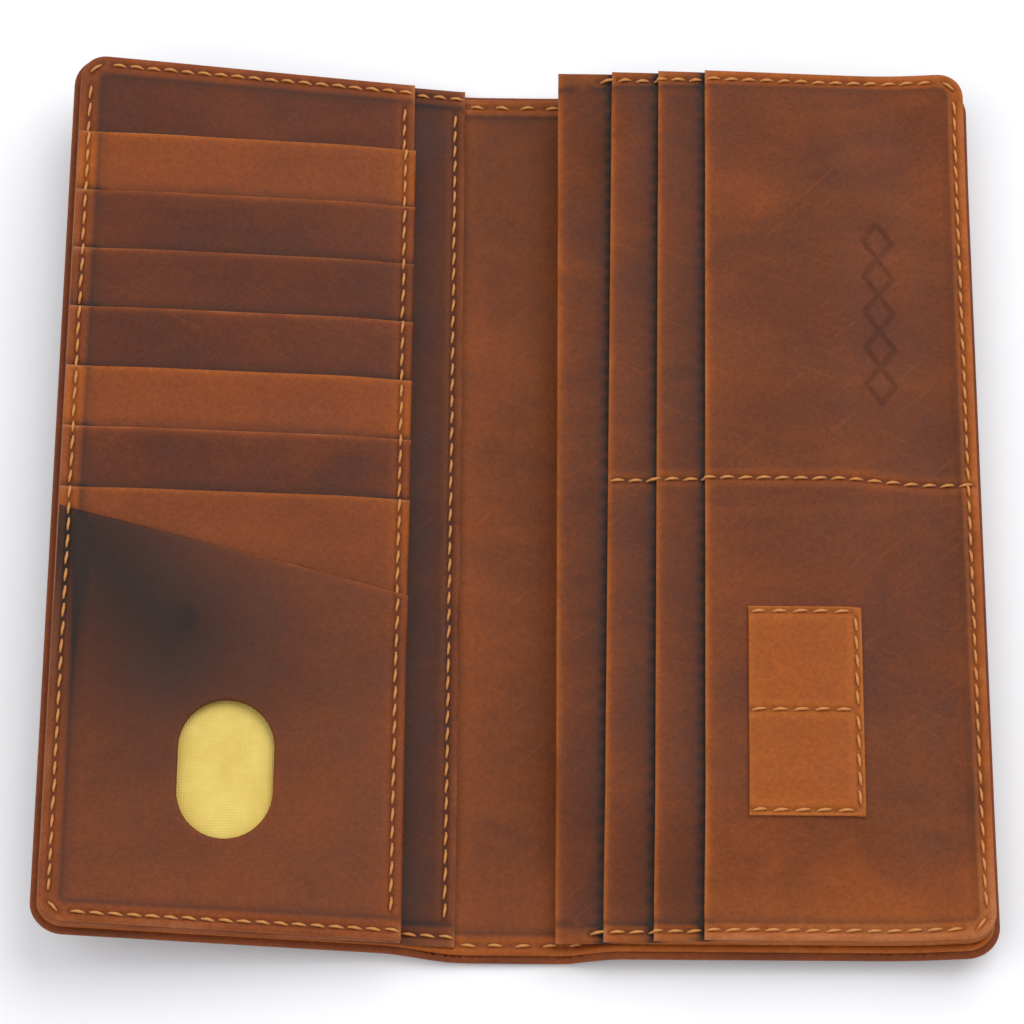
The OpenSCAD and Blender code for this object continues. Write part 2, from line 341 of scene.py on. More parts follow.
# %% [markdown]
# ## Cutting a piece of leather
#
# A real piece is cut from flat hide, its edge is bevelled and burnished round, and then it is laid on
# what is below it. We do the same: take an outline, fill it with a fine triangle mesh, give it an upper
# and a lower face, and join the two with a rounded edge. A height function says what the piece lies on,
# and a relief function presses seams and marks into its face. A triangulated outline is used, rather
# than a subdivided plane, because it follows round corners, slanted edges and a hole exactly.

# %% Outline helpers
def smooth(t):
    t = np.clip(t, 0, 1)
    return t * t * (3 - 2 * t)


def bell(away, width):
    """1 on a line, falling softly to nothing at about twice the width."""
    return np.exp(-(away / width) ** 2)


def arc(cx, cy, radius, start, end, steps=10):
    angles = np.radians(np.linspace(start, end, steps))
    return [(cx + radius * math.cos(a), cy + radius * math.sin(a)) for a in angles]


def half_outline(inset, start):
    """One half's outline, anticlockwise: square at the fold, round at its two outer corners."""
    r = CORNER_R - inset
    w = half_w - inset
    h = half_h - inset
    return [(start, -h)] + arc(w - r, r - h, r, -90, 0) + arc(w - r, h - r, r, 0, 90) + [(start, h)]


def resample(outline, step):
    """The same outline with a point at least every step millimetres."""
    points = []
    for (ax, ay), (bx, by) in zip(outline, outline[1:] + outline[:1]):
        count = max(1, math.ceil(math.hypot(bx - ax, by - ay) / step))
        for i in range(count):
            points.append((ax + (bx - ax) * i / count, ay + (by - ay) * i / count))
    return np.array(points)


def inward_normals(loop):
    tangent = np.roll(loop, -1, 0) - np.roll(loop, 1, 0)
    tangent /= np.linalg.norm(tangent, axis=1)[:, None]
    return np.stack([-tangent[:, 1], tangent[:, 0]], 1)


def inside(points, loop):
    """Which points lie inside a closed loop, by counting crossings."""
    x, y = points[:, 0][:, None], points[:, 1][:, None]
    ax, ay = loop[:, 0], loop[:, 1]
    bx, by = np.roll(ax, -1), np.roll(ay, -1)
    crosses = (ay > y) != (by > y)
    rise = np.where(by == ay, 1e-12, by - ay)
    return (crosses & (x < (bx - ax) * (y - ay) / rise + ax)).sum(1) % 2 == 1


def distance_to_segments(points, starts, ends):
    """Distance from each point to the nearest of some segments."""
    best = np.full(len(points), 1e9)
    for a, b in zip(starts, ends):
        along = b - a
        t = np.clip((points - a) @ along / max(along @ along, 1e-12), 0, 1)
        best = np.minimum(best, np.linalg.norm(points - a - t[:, None] * along, axis=1))
    return best


corner_points = flat_points("cover_right")
CORNER_R = float(half_h - corner_points[corner_points[:, 0] > half_w - 0.001][:, 1].max())
print("corner radius", round(CORNER_R, 1), "mm")

# %% [markdown]
# ## How the open wallet lies
#
# Leather that has been carried for months never lies dead flat. The sewn rims of the right half have
# taken a set and stand up a few millimetres, and the left half's upper outer corner curls. One lift
# function per half bends the cover, the lining and everything sewn on them together, so the layers stay
# in contact and no piece cuts through another.

# %% Placing leather on the two halves
FOLD_SOFTNESS = 3.0
LIFT_RAMP = 14
RIM_START = 58
TOP_RIM_LIFT = 8.6
TOP_RIM_FALL = 3.8
BOTTOM_RIM_LIFT = 3.4
SIDE_LIFT = 4.6
SIDE_START = 58
CURL_TOP = 0.6
CURL_BOTTOM = 0.1
LEFT_GIVE = -1.4
LEFT_GIVE_START = 20
RIGHT_GIVE = 0.8
RIGHT_GIVE_START = 30
LEFT_SLIP = -2.6
SLIP_END = 74
MOUTH_PULL = -1.7
MOUTH_REACH = 9
LEAN = 1.1
LEAN_RAMP = 8
LEAN_FADE = (35, 40)


def rim_lift(u, y):
    """How high the right half's upper and lower rims stand away from the fold."""
    rim = half_h - RIM_START
    top = (TOP_RIM_LIFT - TOP_RIM_FALL * smooth(u / half_w)) * smooth((y - RIM_START) / rim)
    return top + BOTTOM_RIM_LIFT * smooth((-y - RIM_START) / rim)


def right_lift(u, y):
    side = SIDE_LIFT * smooth((u - SIDE_START) / (half_w - SIDE_START))
    return np.hypot(rim_lift(u, y) * smooth(u / LIFT_RAMP), side)


def left_lift(u, y):
    curl = CURL_BOTTOM + (CURL_TOP - CURL_BOTTOM) * smooth((y + half_h) / (2 * half_h))
    return curl * smooth(u / half_w)


def place_right(u, y, h):
    give = RIGHT_GIVE * smooth((u - RIGHT_GIVE_START) / (half_w - RIGHT_GIVE_START))
    fade_start, fade = LEAN_FADE
    give += LEAN * y / half_h * smooth(u / LEAN_RAMP) * (1 - smooth((u - fade_start) / fade))
    give += MOUTH_PULL * (1 - smooth(u / MOUTH_REACH)) * smooth((h - 1) / 2)
    return np.stack([spine_half + u + give, y, lining_z + h + right_lift(u, y)], -1)


def place_left(u, y, h):
    rise = (u + np.hypot(u, FOLD_SOFTNESS)) / 2
    over = smooth((u + FOLD_SOFTNESS) / (2 * FOLD_SOFTNESS))
    give = LEFT_GIVE * smooth((u - LEFT_GIVE_START) / (half_w - LEFT_GIVE_START))
    x = -spine_half - np.where(u > 0, u * cos_tilt, u) - give + h * sin_tilt * over
    slip = LEFT_SLIP * smooth(u / half_w) * (1 - smooth((np.abs(y) - SLIP_END) / (half_h - SLIP_END)))
    return np.stack([x, y + slip, lining_z + rise * sin_tilt + h + left_lift(u, y)], -1)


# %% [markdown]
# The cover and its lining sit a millimetre lower than the panels at the fold, because they are pulled
# there each time the wallet closes. Only they slip like this, so they get their own placing.

# %% Placing the cover
COVER_SLIP = -1.2
SLIP_FADE = 16


def place_cover_right(u, y, h):
    return place_right(u, y + COVER_SLIP, h)


def place_cover_left(u, y, h):
    return place_left(u, y + COVER_SLIP * (1 - smooth(u / SLIP_FADE)), h)


# %% [markdown]
# ## Seams
#
# A saddle stitch pulls the leather down into a groove, with a small pit at each awl hole. We keep each
# seam as plain numbers first: the run that the groove follows, and the two ends of every stitch. The
# sheets below read it to press the groove, and the thread is laid into it afterwards.

# %% Seam helpers
STITCH_PITCH = 3.6
STITCH_LENGTH = 2.65
GROOVE_DEPTH = 0.28
GROOVE_WIDTH = 0.55
LIP_RISE = 0.4
LIP_AT = 1.4
LIP_WIDTH = 0.6
PIT_DEPTH = 0.35
PIT_WIDTH = 0.5
PIT_REACH = 2


def seam_run(a, b):
    """One straight run of stitches from a to b, evenly spaced."""
    a, b = np.array(a, float), np.array(b, float)
    length = np.linalg.norm(b - a)
    count = max(1, int(length / STITCH_PITCH + 0.001))
    along = (b - a) / length
    middles = [a + (b - a) * (i + 0.5) / count for i in range(count)]
    stitches = [(m - along * STITCH_LENGTH / 2, m + along * STITCH_LENGTH / 2) for m in middles]
    return {"runs": [(a, b)], "stitches": stitches}


def join_seams(*seams):
    return {key: [item for seam in seams for item in seam[key]] for key in ("runs", "stitches")}


def seam_distance(points, seam):
    starts = [a for a, b in seam["runs"]]
    ends = [b for a, b in seam["runs"]]
    return distance_to_segments(points, starts, ends)


def seam_relief(points, seams):
    """How far the seams press the face down at each point, in millimetres."""
    relief = np.zeros(len(points))
    for seam in seams:
        away = seam_distance(points, seam)
        relief -= GROOVE_DEPTH * bell(away, GROOVE_WIDTH)
        relief += LIP_RISE * GROOVE_DEPTH * bell(away - LIP_AT, LIP_WIDTH)
        holes = np.array([end for stitch in seam["stitches"] for end in stitch])
        near = np.where(away < PIT_REACH)[0]
        gap = np.linalg.norm(points[near, None] - holes[None], axis=2).min(1)
        relief[near] -= PIT_DEPTH * bell(gap, PIT_WIDTH)
    return relief


# %% [markdown]
# The outline of a sheet is filled with a Delaunay triangulation. Most of the leather needs a point only
# every two millimetres, but a groove needs one every half millimetre across, so each seam brings its own
# rows of points. The rim of the sheet gets five more rings of points round its thickness, which is what
# makes it look cut, bevelled and burnished rather than sliced from cardboard.

# %% Cutting a sheet
COARSE = 2.0
CROWDED = 0.6 * COARSE
RIM_CLEAR = 0.35
OUTLINE_STEP = 1.3
HOLE_STEP = 0.9
ROW_STEP = 0.8
BATCH = 2000
RIM_ANGLES = np.radians([60, 30, 0, -30, -60])
ROW_OFFSETS = (-3.2, -2.4, -1.6, -0.9, -0.45, 0, 0.45, 0.9, 1.6, 2.4, 3.2)
EDGE_ROWS = (0.6, 1.4)


def rim_gap(u, y):
    """Distance in from the outer rim of a half, round its corners."""
    du, dy = half_w - u, half_h - np.abs(y)
    corner = CORNER_R - np.hypot(CORNER_R - du, CORNER_R - dy)
    return np.where((du < CORNER_R) & (dy < CORNER_R), corner, np.minimum(du, dy))


def rows_beside(seam):
    """Points along a seam, in rows across its groove."""
    points = []
    for a, b in seam["runs"]:
        length = np.linalg.norm(b - a)
        along = (b - a) / length
        across = np.array([-along[1], along[0]])
        for offset in ROW_OFFSETS:
            for t in np.arange(0, length, ROW_STEP):
                points.append(a + along * t + across * offset)
    return np.array(points)


def nearest(points, others):
    """Distance from each point to the nearest of the others, a batch at a time to spare memory."""
    return np.concatenate([
        np.linalg.norm(points[i:i + BATCH, None] - others[None], axis=2).min(1)
        for i in range(0, len(points), BATCH)
    ])


def fill_outline(loops, extra):
    """Triangulate the area between an outer loop and its holes."""
    outer = loops[0]
    low, high = outer.min(0), outer.max(0)
    grid = []
    for row, y in enumerate(np.arange(low[1] + COARSE / 2, high[1], COARSE * 0.87)):
        grid += [(x, y) for x in np.arange(low[0] + COARSE * (0.5 + row % 2 / 2), high[0], COARSE)]
    grid = np.array(grid)
    if len(extra):
        grid = np.concatenate([grid[nearest(grid, extra) >= CROWDED], extra])
    keep = inside(grid, outer)
    for hole in loops[1:]:
        keep &= ~inside(grid, hole)
    rim = np.concatenate(loops)
    grid = grid[keep]
    points = np.concatenate([rim, grid[nearest(grid, rim) > RIM_CLEAR]])
    edges, first = [], 0
    for loop in loops:
        edges += [(first + i, first + (i + 1) % len(loop)) for i in range(len(loop))]
        first += len(loop)
    flat = [Vector(p) for p in points]
    verts, _, faces, came_from, _, _ = geometry.delaunay_2d_cdt(flat, edges, [], 0, 1e-5)
    verts = np.array([tuple(v) for v in verts])
    where = {old: new for new, olds in enumerate(came_from) for old in olds}
    faces = np.array(faces)
    middles = verts[faces].mean(1)
    keep = inside(middles, outer)
    for hole in loops[1:]:
        keep &= ~inside(middles, hole)
    rim_index, first = [], 0
    for loop in loops:
        rim_index.append(np.array([where[first + i] for i in range(len(loop))]))
        first += len(loop)
    return verts, faces[keep], rim_index


def straight(a, b):
    return np.array([a, b], float)


def free_edge(a, b):
    """The bright line along an edge that isn't sewn down: partly wear from handling, partly a painted highlight.
    """
    return [(straight(a, b), 0.45, 1.1)]


def new_piece(name, points, faces, material, attributes):
    mesh = bpy.data.meshes.new(name)
    mesh.from_pydata((points * MM).tolist(), [], faces)
    for key, values in attributes.items():
        kind = "FLOAT_VECTOR" if values.ndim == 2 else "FLOAT"
        field = "vector" if values.ndim == 2 else "value"
        mesh.attributes.new(key, kind, "POINT").data.foreach_set(field, values.astype(np.float32).ravel())
    mesh.polygons.foreach_set("use_smooth", [True] * len(mesh.polygons))
    mesh.materials.append(material)
    piece = bpy.data.objects.new(name, mesh)
    scene.collection.objects.link(piece)
    return piece


# %% [markdown]
# Two numbers ride on every point of a sheet and tell the leather finish how light or dark to paint it.
# The first is high where hands, edges and folds have polished the wax away, and along free edges it also
# paints a highlight. The second is high where wax and dust gather, in grooves, in pressed marks and in
# stains, and it also paints shade: a dark line along the inner edge of the border and a dark band in the
# corner below the next sheet's edge.

# %% Rub and highlight, wax and shade
RIM_RUB, RIM_REACH = 0.75, 0.5
HAND_RUB, HAND_REACH = 0.12, 4
BORDER_LINE_SHADE, BORDER_LINE_WIDTH = 0.5, 0.7
BORDER_BLUR = 0.9
SHOULDER_RUB, SHOULDER_WIDTH = 0.3, 0.7
SEAM_RUB, SEAM_REACH = 0.2, 2.4
THREAD_SOOT, THREAD_REACH = 0.3, 0.45
PRESSED_WAX = 1.3


def wear(flat, edge_gap, seams, relief, worn, border, border_rub, waxed, shades, worn_lines):
    rub_and_highlight = worn * (RIM_RUB * np.exp(-edge_gap / RIM_REACH) + HAND_RUB * np.exp(-edge_gap / HAND_REACH))
    wax_and_shade = np.full(len(flat), float(waxed))
    if border:
        gap = rim_gap(flat[:, 0], flat[:, 1])
        rub_and_highlight += border_rub * (1 - smooth((gap - border + BORDER_BLUR) / (2 * BORDER_BLUR)))
        # Painted shade: a thin dark line along the inner edge of the border band.
        wax_and_shade += BORDER_LINE_SHADE * bell(gap - border - 0.5, BORDER_LINE_WIDTH)
    if relief:
        wax_and_shade -= PRESSED_WAX * relief(flat[:, 0], flat[:, 1])
    # Along these lines the colour darkens: painted shade beside the edges of sheets above, and real stains and
    # blemishes.
    for line, width, amount in shades:
        away = distance_to_segments(flat, line[:1], line[1:])
        wax_and_shade += amount * np.exp(-(away / width) ** 1.6)
    # Along these lines the colour lightens: wear at folds and free edges, and a painted highlight along the free
    # edges.
    for line, width, amount in worn_lines:
        rub_and_highlight += amount * np.exp(-distance_to_segments(flat, line[:1], line[1:]) / width)
    for seam in seams:
        away = seam_distance(flat, seam)
        rub_and_highlight += SHOULDER_RUB * bell(away - 1.1, SHOULDER_WIDTH) + SEAM_RUB * bell(away, SEAM_REACH)
        wax_and_shade += THREAD_SOOT * bell(away, THREAD_REACH)
    return rub_and_highlight, wax_and_shade


# %% [markdown]
# Now a sheet can be cut. Its upper face, the rings of its rounded edge and its lower face are stacked
# into one list of points, then strips of quads join each ring to the next. Where a sheet meets its other
# half in the middle of the spine, the strip is left open, so the two halves read as one piece.

# %% Cutting one sheet
def cut_sheet(name, outline, under, thickness, place, material, holes=(), seams=(), relief=None,
              extra=None, worn=1.0, border=0.0, border_rub=0.34, waxed=0.0, shades=(), worn_lines=(),
              join_u=None, batch=None, sewn_below=False):
    """Cut one piece of leather. under gives the height of what it lies on; all in flat millimetres.

    A sheet that is sewn_below shows its seams on its lower face, as the cover does outside.
    """
    bevel = thickness / 2
    loops = [resample(outline, OUTLINE_STEP)] + [resample(hole, HOLE_STEP)[::-1] for hole in holes]
    normals = [inward_normals(loop) for loop in loops]
    joined = [np.zeros(len(loop), bool) for loop in loops]
    if join_u is not None:
        joined[0] = np.abs(loops[0][:, 0] - join_u) < 0.001
        normals[0][joined[0]] = np.round(normals[0][joined[0]] * (0, 1.2))
    rows = [rows_beside(seam) for seam in seams] + ([extra] if extra is not None else [])
    rows += [loop + n * (bevel + depth) for loop, n in zip(loops, normals) for depth in EDGE_ROWS]
    rows = np.concatenate(rows)
    flat, faces, rims = fill_outline([l + n * bevel for l, n in zip(loops, normals)], rows)

    sewn = seam_relief(flat, seams)
    pressed = 0 if sewn_below else sewn + (relief(flat[:, 0], flat[:, 1]) if relief else 0)
    base = under(flat[:, 0], flat[:, 1])
    count = len(flat)
    layers_flat, heights = [flat], [base + thickness + pressed]
    strips, ring_start = [], count
    for loop, normal, rim, at_join in zip(loops, normals, rims, joined):
        previous = rim
        cut = ~(at_join & np.roll(at_join, -1))
        for angle in RIM_ANGLES:
            ring = loop + normal * bevel * (1 - math.cos(angle))
            layers_flat.append(ring)
            heights.append(under(ring[:, 0], ring[:, 1]) + bevel * (1 + math.sin(angle)))
            index = np.arange(ring_start, ring_start + len(ring))
            ring_start += len(ring)
            strips.append((previous, index, cut))
            previous = index
        strips.append((previous, -rim - 1, cut))
    bottom_start = ring_start
    layers_flat.append(flat)
    heights.append(base - sewn if sewn_below else base)
    flat_all, height_all = np.concatenate(layers_flat), np.concatenate(heights)

    polygons = faces.tolist() + (faces[:, ::-1] + bottom_start).tolist()
    for upper, lower, cut in strips:
        lower = np.where(lower < 0, -lower - 1 + bottom_start, lower)
        quads = np.stack([upper, lower, np.roll(lower, -1), np.roll(upper, -1)], 1)
        polygons += quads[cut].tolist()
    side = -1 if place in (place_left, place_cover_left) else 1
    if side < 0:
        polygons = [polygon[::-1] for polygon in polygons]

    cuts = [~(at_join & np.roll(at_join, -1)) for at_join in joined]
    rim_points = np.concatenate([loop[cut] for loop, cut in zip(loops, cuts)])
    rim_next = np.concatenate([np.roll(loop, -1, 0)[cut] for loop, cut in zip(loops, cuts)])
    edge_gap = distance_to_segments(flat_all, rim_points, rim_next)
    rub_and_highlight, wax_and_shade = wear(flat_all, edge_gap, seams, relief, worn, border, border_rub, waxed, shades,
                     worn_lines)
    hide_random = random.Random(batch or name)
    shift = np.array([hide_random.uniform(-900, 900) for _ in range(3)])
    grain_place = np.column_stack([side * (flat_all[:, 0] + spine_half), flat_all[:, 1], height_all])
    hide = (grain_place + shift) * MM
    points = place(flat_all[:, 0], flat_all[:, 1], height_all)
    piece = new_piece(name, points, polygons, material, {"rub_and_highlight": rub_and_highlight, "wax_and_shade": wax_and_shade, "hide": hide})
    print(name, len(points), "points")
    return piece


# %% [markdown]
# ## Thread
#
# The wallet is sewn with thick waxed thread, three plies twisted together. Each visible stitch rises out
# of one hole, lies in the groove and dives into the next, leaning a little to one side. All stitches of
# a seam are computed at once as one mesh.

# %% Sewing
THREAD_RADIUS = 0.29
STITCH_SINK = 0.5
STITCH_RISE = 0.62
PLY_DEPTH = 0.1
THIN_END = 0.7
STITCH_LEAN = 0.14
HAND_WOBBLE = 0.09
PLIES = 3
TURNS = 1.6
RINGS = 13
SIDES = 12


def sew(name, seam, top, place, material, outward=1):
    hand = np.random.RandomState(len(seam["stitches"]))
    starts = np.array([p for p, q in seam["stitches"]])[:, None]
    ends = np.array([q for p, q in seam["stitches"]])[:, None]
    starts = starts + hand.uniform(-HAND_WOBBLE, HAND_WOBBLE, starts.shape)
    ends = ends + hand.uniform(-HAND_WOBBLE, HAND_WOBBLE, ends.shape)
    t = np.linspace(0, 1, RINGS)[None, :, None]
    along = (ends - starts) / np.linalg.norm(ends - starts, axis=2, keepdims=True)
    across = np.stack([-along[..., 1], along[..., 0]], -1)
    flat = starts + (ends - starts) * t + across * STITCH_LEAN * (t - 0.5) * 2
    u, y = flat[..., 0], flat[..., 1]
    lift = outward * (-STITCH_SINK + STITCH_RISE * np.sin(np.pi * t[..., 0]) ** 0.6)
    surface = top(u, y)
    chord = surface[:, :1] * (1 - t[..., 0]) + surface[:, -1:] * t[..., 0]
    centre = place(u, y, np.maximum(surface, chord) + lift - (0 if outward > 0 else -GROOVE_DEPTH / 2))
    up = place(u, y, surface + 1) - place(u, y, surface)
    tangent = np.gradient(centre, axis=1)
    tangent /= np.linalg.norm(tangent, axis=2, keepdims=True)
    side = np.cross(tangent, up)
    side /= np.linalg.norm(side, axis=2, keepdims=True)
    up = np.cross(side, tangent)
    angle = np.linspace(0, 2 * math.pi, SIDES, endpoint=False)[None, None, :]
    twist = 2 * math.pi * TURNS * t
    plies = 1 + PLY_DEPTH * np.cos(PLIES * angle + twist)
    radius = THREAD_RADIUS * plies * (THIN_END + (1 - THIN_END) * np.sin(np.pi * t))
    ring = side[:, :, None] * (radius * np.cos(angle))[..., None]
    ring = ring + up[:, :, None] * (radius * np.sin(angle))[..., None]
    points = (centre[:, :, None] + ring).reshape(-1, 3)
    index = np.arange(len(points)).reshape(len(starts), RINGS, SIDES)
    here, beside = index[:, :-1], np.roll(index[:, :-1], -1, 2)
    there, beyond = index[:, 1:], np.roll(index[:, 1:], -1, 2)
    quads = np.stack([here, there, beyond, beside], -1).reshape(-1, 4).tolist()
    caps = index[:, 0].tolist() + index[:, -1, ::-1].tolist()
    hide = np.stack(np.broadcast_arrays(angle / 6, t * 3, np.arange(len(starts))[:, None, None] * 1.7), -1)
    piece = new_piece(name, points, quads + caps, material, {"hide": hide.reshape(-1, 3) * 0.01})
    print(name, len(starts), "stitches")
    return piece


# %% [markdown]
# ## Thread and lining finishes
#
# Waxed polyester is a light orange brown with a soft shine, slightly darker where the plies meet.

# %% Waxed thread
def waxed_thread():
    material, tree, shader = new_material("waxed_thread")
    hide = add_node(tree, "ShaderNodeAttribute", attribute_name="hide").outputs["Vector"]
    fibres = noise(tree, add_node(tree, "ShaderNodeMapping", {
        "Vector": hide, "Scale": (900, 60, 10)}).outputs["Vector"], 1.0, 3, 0.6)
    colour = mix_colour(tree, fibres, (0.46, 0.155, 0.026, 1), (0.68, 0.285, 0.060, 1))
    tree.links.new(colour, shader.inputs["Base Color"])
    tree.links.new(bump(tree, fibres, 0.0001, 0.5), shader.inputs["Normal"])
    tree.links.new(stretch(tree, fibres, 0.3, 0.7, 0.5, 0.65), shader.inputs["Roughness"])
    shader.inputs["Sheen Weight"].default_value = 0.15
    return material


thread = waxed_thread()

# %% [markdown]
# ## Outer cover and lining
#
# The cover is one piece of thick hide, and the lining one thinner piece glued inside it. Both bend at
# the two folds. A blended piece may cross only one joint, so each is made in two meshes that meet in
# the middle of the spine, point for point.

# %% Sizes of the seams
HAND_OVER = 1.2
thread_box_high = flat_box("edge_thread_right")[1]
thread_radius_cad = (box_mm("edge_thread_spine")[1][2] - lining_z) / 2
seam_u = thread_box_high[0] - thread_radius_cad
seam_y = thread_box_high[1] - thread_radius_cad
seam_inset = half_w - seam_u
print("edge seam", round(seam_inset, 2), "mm inside the edge")


def edge_seam(start, stop_corner=True):
    """The seam round one half, from distance start out to the corners and down the outer side."""
    turn = CORNER_R - seam_inset + STITCH_PITCH / 4
    middle = (CORNER_R - seam_inset) * (1 - math.cos(math.radians(45)))
    reach = STITCH_PITCH / 2 / math.sqrt(2)
    parts = []
    for side in (-1, 1):
        parts.append(seam_run((start, side * seam_y), (seam_u - turn, side * seam_y)))
        corner = np.array([seam_u - middle, side * (seam_y - middle)])
        along = np.array([1, -side]) * reach
        parts.append(seam_run(corner - along * 1.01, corner + along * 1.01))
    parts.append(seam_run((seam_u, turn - seam_y), (seam_u, seam_y - turn)))
    return join_seams(*parts)


spine_seam = join_seams(*[seam_run((-spine_half, side * seam_y), (HAND_OVER, side * seam_y))
                          for side in (-1, 1)])
cover_seam = join_seams(spine_seam, edge_seam(HAND_OVER))


# %% [markdown]
# The seam plans are ready, so the cover and the lining can be cut. Each half reaches from the middle of
# the spine to its outer edge; on the left the fold is rounded over a few millimetres, which is how leather
# bends.

# %% Cover and lining meshes
def level(height):
    return lambda u, y: np.full(np.shape(u), float(height))


def two_halves(name, inset, under, thickness, material, **extras):
    for side, place, body in ((-1, place_cover_left, "left"), (1, place_cover_right, "right")):
        piece = cut_sheet(f"{name}_{body}_half", half_outline(inset, -spine_half), level(under), thickness,
                          place, material, seams=[cover_seam], border=BORDER, worn=0.6,
                          join_u=-spine_half, batch=name, sewn_below=name == "cover", border_rub=0.3,
                          worn_lines=[(straight((0, -half_h), (0, half_h)), *FOLD_RUB)], **extras)
        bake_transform(piece)
        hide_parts(f"{name}_{body}", f"{name}_spine")


edge_inset = half_w - inner_w
BORDER = 5.2
FOLD_RUB = (2.5, 0.35)
LINING_SHADE = (45, 0.25)
two_halves("cover", 0, -lining_z, cover_t, cover_leather)
two_halves("lining", edge_inset, -lining_t, lining_t, lining_leather,
           shades=[(straight((-spine_half, inner_h), (inner_w, inner_h)), *LINING_SHADE)])

# %% [markdown]
# ## Left half
#
# The slip panel makes a long pocket that opens towards the fold. On it lie the card base, seven card
# pockets like shingles, and the ID pocket with its slanted edge and thumb hole. Each next sheet lies on
# the one before, and the middle of the stack swells a little where cards have stretched it.

# %% Slip panel and card base
slip_low, slip_high = flat_box("slip_panel")
base_low, base_high = flat_box("card_base")
panel_t = slip_high[2] - slip_low[2]
layer_t = base_high[2] - base_low[2]
card_edge_u = base_low[0]
fold_setback = slip_low[0]
pocket_boxes = [flat_box(f"card_pocket_{k}") for k in range(1, 8)]
slot_y = [high[1] for low, high in pocket_boxes]
INNER_SEAM = 2.2
LEFT_SWELL = 0.6
SWELL_EASE = 26
OUTER_EASE = 22
MOUTH_GAPE = 0.7
GAPE_REACH = 7
GAPE_EASE = 30
CORNER_SHADE = (1.0, 0.85)
SLIP_SHADE = (11, 0.5)


def slot_shades(k):
    """The painted shadow, a dark line on a sheet just above the opening of the next pocket, k counted from 0."""
    if k >= len(slot_y):
        return []
    line = straight((card_edge_u, slot_y[k]), (inner_w, slot_y[k]))
    return [(line, *CORNER_SHADE)]


def left_swell(u, y):
    across = smooth((u + 2) / SWELL_EASE) * smooth((inner_w - 1 - u) / OUTER_EASE)
    return LEFT_SWELL * across * smooth((inner_h - np.abs(y)) / SWELL_EASE)


def mouth_gape(u, y):
    near_mouth = 1 - smooth((u - fold_setback) / GAPE_REACH)
    return MOUTH_GAPE * near_mouth * smooth((inner_h - np.abs(y)) / GAPE_EASE)


left_edge_seam = edge_seam(fold_setback)
slip_seam = seam_run((fold_setback + INNER_SEAM, STITCH_PITCH - seam_y),
                     (fold_setback + INNER_SEAM, seam_y - STITCH_PITCH))
card_seam = seam_run((card_edge_u + INNER_SEAM, STITCH_PITCH - seam_y),
                     (card_edge_u + INNER_SEAM, seam_y - STITCH_PITCH))


def sewn_left(name, outline, under, thickness, material, kind="leather", **extras):
    piece = cut_sheet(f"{name}_{kind}", outline, under, thickness, place_left, material, **extras)
    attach(piece, "left_half")
    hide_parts(name)
    return piece


def slip_under(u, y):
    return slip_low[2] + left_swell(u, y) + mouth_gape(u, y)


slip_panel = sewn_left("slip_panel", half_outline(edge_inset, fold_setback), slip_under, panel_t,
                       panel_leather, seams=[left_edge_seam, slip_seam], border=BORDER, waxed=0.1,
                       shades=[(straight((card_edge_u, -inner_h), (card_edge_u, inner_h)), *SLIP_SHADE)],
                       worn_lines=free_edge((fold_setback, -inner_h), (fold_setback, inner_h)))
card_base = sewn_left("card_base", half_outline(edge_inset, card_edge_u),
                      lambda u, y: slip_under(u, y) + panel_t, layer_t, panel_leather,
                      seams=[left_edge_seam, card_seam], border=BORDER, waxed=0.05, shades=slot_shades(0),
                      worn_lines=free_edge((card_edge_u, -inner_h), (card_edge_u, inner_h)))

# %% [markdown]
# A card pocket is a strip that reaches from its opening down behind the next two. Its opening edge is
# skived and creased and carries a painted highlight, and it stands a hair off the pocket behind it.

# %% Card pockets
slot_pitch = slot_y[0] - slot_y[1]
slot_length = slot_y[0] - pocket_boxes[0][0][1]
slot_slope = layer_t / slot_pitch
card_top_h = base_high[2]
OPENING_GAPE = 0.5
SEAM_EASE = 14
POCKET_LEATHER = {1: light_leather, 5: light_leather, 7: light_leather}
POCKET_WAX = {3: 0.16, 7: 0.16}


def between_seams(u):
    """0 on the two seams that hold the pockets' sides, rising to 1 between them."""
    return smooth((u - card_edge_u - INNER_SEAM) / SEAM_EASE) * smooth((seam_u - u) / SEAM_EASE)


def shingle_under(k, u, y):
    """Underside of card pocket k: it slants over the one above it."""
    slant = card_top_h + (slot_length - slot_y[k] + y) * slot_slope
    near_opening = smooth(1 - (slot_y[k] - y) / 7)
    gape = OPENING_GAPE * near_opening * between_seams(u)
    return slant + left_swell(u, y) + mouth_gape(u, y) + gape


def pocket_outline(k):
    top, foot = slot_y[k], slot_y[k] - slot_length
    return [(card_edge_u, foot), (inner_w, foot), (inner_w, top), (card_edge_u, top)]


def crossing(seam, low_y, high_y):
    """The part of a seam that crosses a strip of leather."""
    stitches = [s for s in seam["stitches"] if low_y < s[0][1] < high_y or low_y < s[1][1] < high_y]
    return {"runs": seam["runs"], "stitches": stitches}


for k in range(len(slot_y)):
    foot = slot_y[k] - slot_length
    crossed = [crossing(left_edge_seam, foot, slot_y[k]), crossing(card_seam, foot, slot_y[k])]
    pocket = sewn_left(f"card_pocket_{k + 1}", pocket_outline(k),
                       lambda u, y, k=k: shingle_under(k, u, y), layer_t,
                       POCKET_LEATHER.get(k + 1, panel_leather), seams=crossed, border=BORDER,
                       waxed=POCKET_WAX.get(k + 1, 0), shades=slot_shades(k + 1),
                       worn_lines=free_edge((card_edge_u, slot_y[k]), (inner_w, slot_y[k])))

# %% [markdown]
# The ID pocket is one larger piece with a slanted edge. A yellow cloth lines it and shows through the
# thumb hole, which is used to push a card up out of the pocket.

